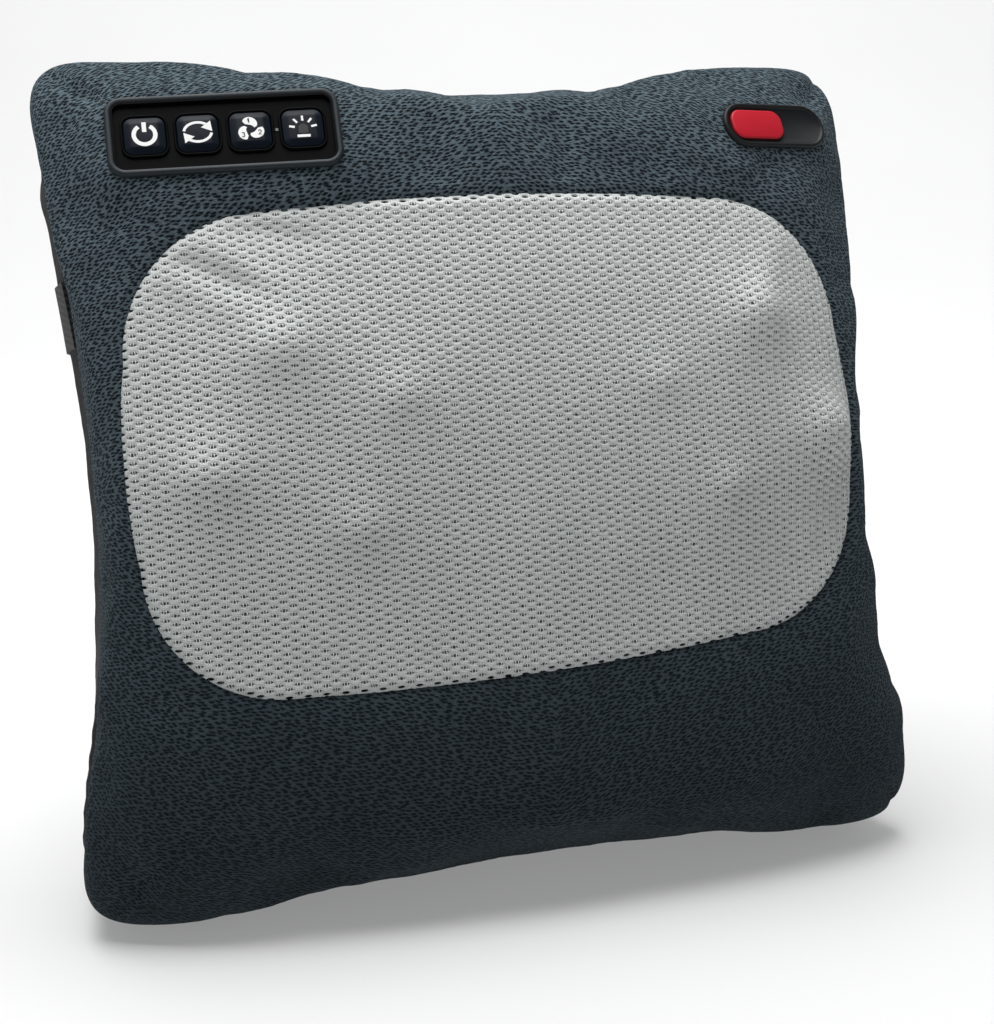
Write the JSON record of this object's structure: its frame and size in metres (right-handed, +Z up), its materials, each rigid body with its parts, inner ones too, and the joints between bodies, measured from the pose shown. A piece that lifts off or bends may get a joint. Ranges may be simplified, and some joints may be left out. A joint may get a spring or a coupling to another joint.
{
  "type": "shiatsu massage cushion",
  "caption": "Square pillow-shaped shiatsu neck and back massager with rotating heads behind a mesh window, a button panel, back strap and zipper.",
  "frame": {"origin": "centre of the standing cushion's box, on the floor", "axes": "+Z up, -Y the massaging face, +X to the right seen from the front; the cushion leans back about X"},
  "size_m": [0.33, 0.165, 0.3112],
  "materials": {
    "cover_knit": "coarse brushed knit, dark slate blue-grey",
    "air_mesh": "light grey spacer mesh with small almond holes",
    "back_fabric": "plain black woven polyester",
    "foam": "soft open foam",
    "webbing": "black elastic webbing",
    "hook_and_loop": "black hook-and-loop tape",
    "zipper_tape": "black woven zipper tape",
    "zipper_plastic": "black moulded plastic",
    "zipper_metal": "blackened metal",
    "panel_black": "satin black soft-touch",
    "button_navy": "satin dark slate",
    "circuit_board": "green solder mask",
    "black_plastic": "matt black moulding",
    "indicator": "smoked clear",
    "badge_black": "satin black rubber",
    "badge_red": "satin red rubber",
    "housing_grey": "dark grey ABS",
    "screw_steel": "zinc plated",
    "motor_steel": "zinc plated can",
    "shaft_steel": "ground steel",
    "coupling_brass": "machined brass",
    "gear_white": "natural acetal",
    "arm_grey": "glass-filled nylon",
    "node_beige": "soft rubber skin",
    "lamp_lens": "translucent red",
    "cable_black": "black sheath",
    "lead_red": "red insulation"
  },
  "bodies": {
    "cushion": {"front_cover": "cover_knit", "mesh_window": "air_mesh", "back_cover": "back_fabric", "foam_front": "foam", "foam_back": "foam", "panel_bezel": "panel_black", "panel_tray": "panel_black", "tact_switches": "black_plastic", "keypad_board": "circuit_board", "indicator_lens": "indicator", "badge_base": "badge_black", "badge_inlay": "badge_red", "shaft_bushes": "coupling_brass", "motor_can": "motor_steel", "motor_end_cap": "black_plastic", "motor_clamp": "screw_steel", "clamp_screws": "screw_steel", "rear_housing": "housing_grey", "front_housing": "housing_grey", "housing_screws": "screw_steel", "lamp_boards": "black_plastic", "lamp_lenses": "lamp_lens", "control_board": "circuit_board", "board_screws": "screw_steel", "keypad_cable": "cable_black", "inlet_lead": "cable_black", "motor_leads": "lead_red", "strap_left": "webbing", "strap_right": "webbing", "strap_fastener": "hook_and_loop", "zipper_tape": "zipper_tape", "zipper_teeth": "zipper_plastic", "dc_inlet": "black_plastic", "inlet_nut": "black_plastic"},
    "head_left": {"worm_wheel_left": "gear_white", "massage_arm_left": "arm_grey", "arm_screws_left": "screw_steel"},
    "head_right": {"worm_wheel_right": "gear_white", "massage_arm_right": "arm_grey", "arm_screws_right": "screw_steel"},
    "drive_shaft": {"motor_armature": "shaft_steel", "shaft_coupling_left": "coupling_brass", "shaft_coupling_right": "coupling_brass", "worm_shaft_left": "shaft_steel", "worm_shaft_right": "shaft_steel"},
    "massage_node_left_1": {"massage_node_left_1": "node_beige"},
    "massage_node_left_2": {"massage_node_left_2": "node_beige"},
    "massage_node_left_3": {"massage_node_left_3": "node_beige"},
    "massage_node_left_4": {"massage_node_left_4": "node_beige"},
    "massage_node_right_1": {"massage_node_right_1": "node_beige"},
    "massage_node_right_2": {"massage_node_right_2": "node_beige"},
    "massage_node_right_3": {"massage_node_right_3": "node_beige"},
    "massage_node_right_4": {"massage_node_right_4": "node_beige"},
    "power_button": {"power_button": "button_navy"},
    "direction_button": {"direction_button": "button_navy"},
    "speed_button": {"speed_button": "button_navy"},
    "light_button": {"light_button": "button_navy"},
    "zipper_slider": {"zipper_slider": "zipper_plastic"},
    "zipper_pull": {"zipper_pull": "zipper_metal"}
  },
  "joints": [
    {"name": "head_left_spin", "type": "hinge", "parent": "cushion", "child": "head_left", "pos_m": [-0.082, -0.00437, 0.16788], "axis": [0, 0.9681, -0.2504], "continuous": true},
    {"name": "head_right_spin", "type": "hinge", "parent": "cushion", "child": "head_right", "pos_m": [0.082, -0.00437, 0.16788], "axis": [0, 0.9681, -0.2504], "continuous": true},
    {"name": "drive_shaft_spin", "type": "hinge", "parent": "cushion", "child": "drive_shaft", "pos_m": [0, 0.01817, 0.1951], "axis": [1, 0, 0], "continuous": true},
    {"name": "node_left_1_spin", "type": "hinge", "parent": "head_left", "child": "massage_node_left_1", "pos_m": [-0.09335, 0.00365, 0.19891], "axis": [0, 0.9681, -0.2504], "continuous": true},
    {"name": "node_left_2_spin", "type": "hinge", "parent": "head_left", "child": "massage_node_left_2", "pos_m": [-0.04995, -0.00153, 0.17886], "axis": [0, 0.9681, -0.2504], "continuous": true},
    {"name": "node_left_3_spin", "type": "hinge", "parent": "head_left", "child": "massage_node_left_3", "pos_m": [-0.07065, -0.01239, 0.13685], "axis": [0, 0.9681, -0.2504], "continuous": true},
    {"name": "node_left_4_spin", "type": "hinge", "parent": "head_left", "child": "massage_node_left_4", "pos_m": [-0.11405, -0.00721, 0.15689], "axis": [0, 0.9681, -0.2504], "continuous": true},
    {"name": "node_right_1_spin", "type": "hinge", "parent": "head_right", "child": "massage_node_right_1", "pos_m": [0.09051, 0.00387, 0.19975], "axis": [0, 0.9681, -0.2504], "continuous": true},
    {"name": "node_right_2_spin", "type": "hinge", "parent": "head_right", "child": "massage_node_right_2", "pos_m": [0.11492, -0.0065, 0.15963], "axis": [0, 0.9681, -0.2504], "continuous": true},
    {"name": "node_right_3_spin", "type": "hinge", "parent": "head_right", "child": "massage_node_right_3", "pos_m": [0.07349, -0.01261, 0.13601], "axis": [0, 0.9681, -0.2504], "continuous": true},
    {"name": "node_right_4_spin", "type": "hinge", "parent": "head_right", "child": "massage_node_right_4", "pos_m": [0.04908, -0.00224, 0.17612], "axis": [0, 0.9681, -0.2504], "continuous": true},
    {"name": "power_button_press", "type": "slide", "parent": "cushion", "child": "power_button", "axis": [0.1651, 0.8294, -0.5337], "range_m": [0, 0.001], "stiffness_N_per_m": 600, "springref_m": -0.0008},
    {"name": "direction_button_press", "type": "slide", "parent": "cushion", "child": "direction_button", "axis": [0.1651, 0.8294, -0.5337], "range_m": [0, 0.001], "stiffness_N_per_m": 600, "springref_m": -0.0008},
    {"name": "speed_button_press", "type": "slide", "parent": "cushion", "child": "speed_button", "axis": [0.1651, 0.8294, -0.5337], "range_m": [0, 0.001], "stiffness_N_per_m": 600, "springref_m": -0.0008},
    {"name": "light_button_press", "type": "slide", "parent": "cushion", "child": "light_button", "axis": [0.1651, 0.8294, -0.5337], "range_m": [0, 0.001], "stiffness_N_per_m": 600, "springref_m": -0.0008},
    {"name": "zipper_slide", "type": "slide", "parent": "cushion", "child": "zipper_slider", "axis": [1, 0, 0], "range_m": [0, 0.148]},
    {"name": "zipper_pull_swing", "type": "hinge", "parent": "zipper_slider", "child": "zipper_pull", "pos_m": [-0.091, 0.03388, 0.0547], "axis": [0, 0.2504, 0.9681], "range_deg": [0, 175]}
  ],
  "couplings": [
    {"joint": "head_right_spin", "follows": "head_left_spin", "ratio": -1},
    {"joint": "drive_shaft_spin", "follows": "head_left_spin", "ratio": -54}
  ]
}
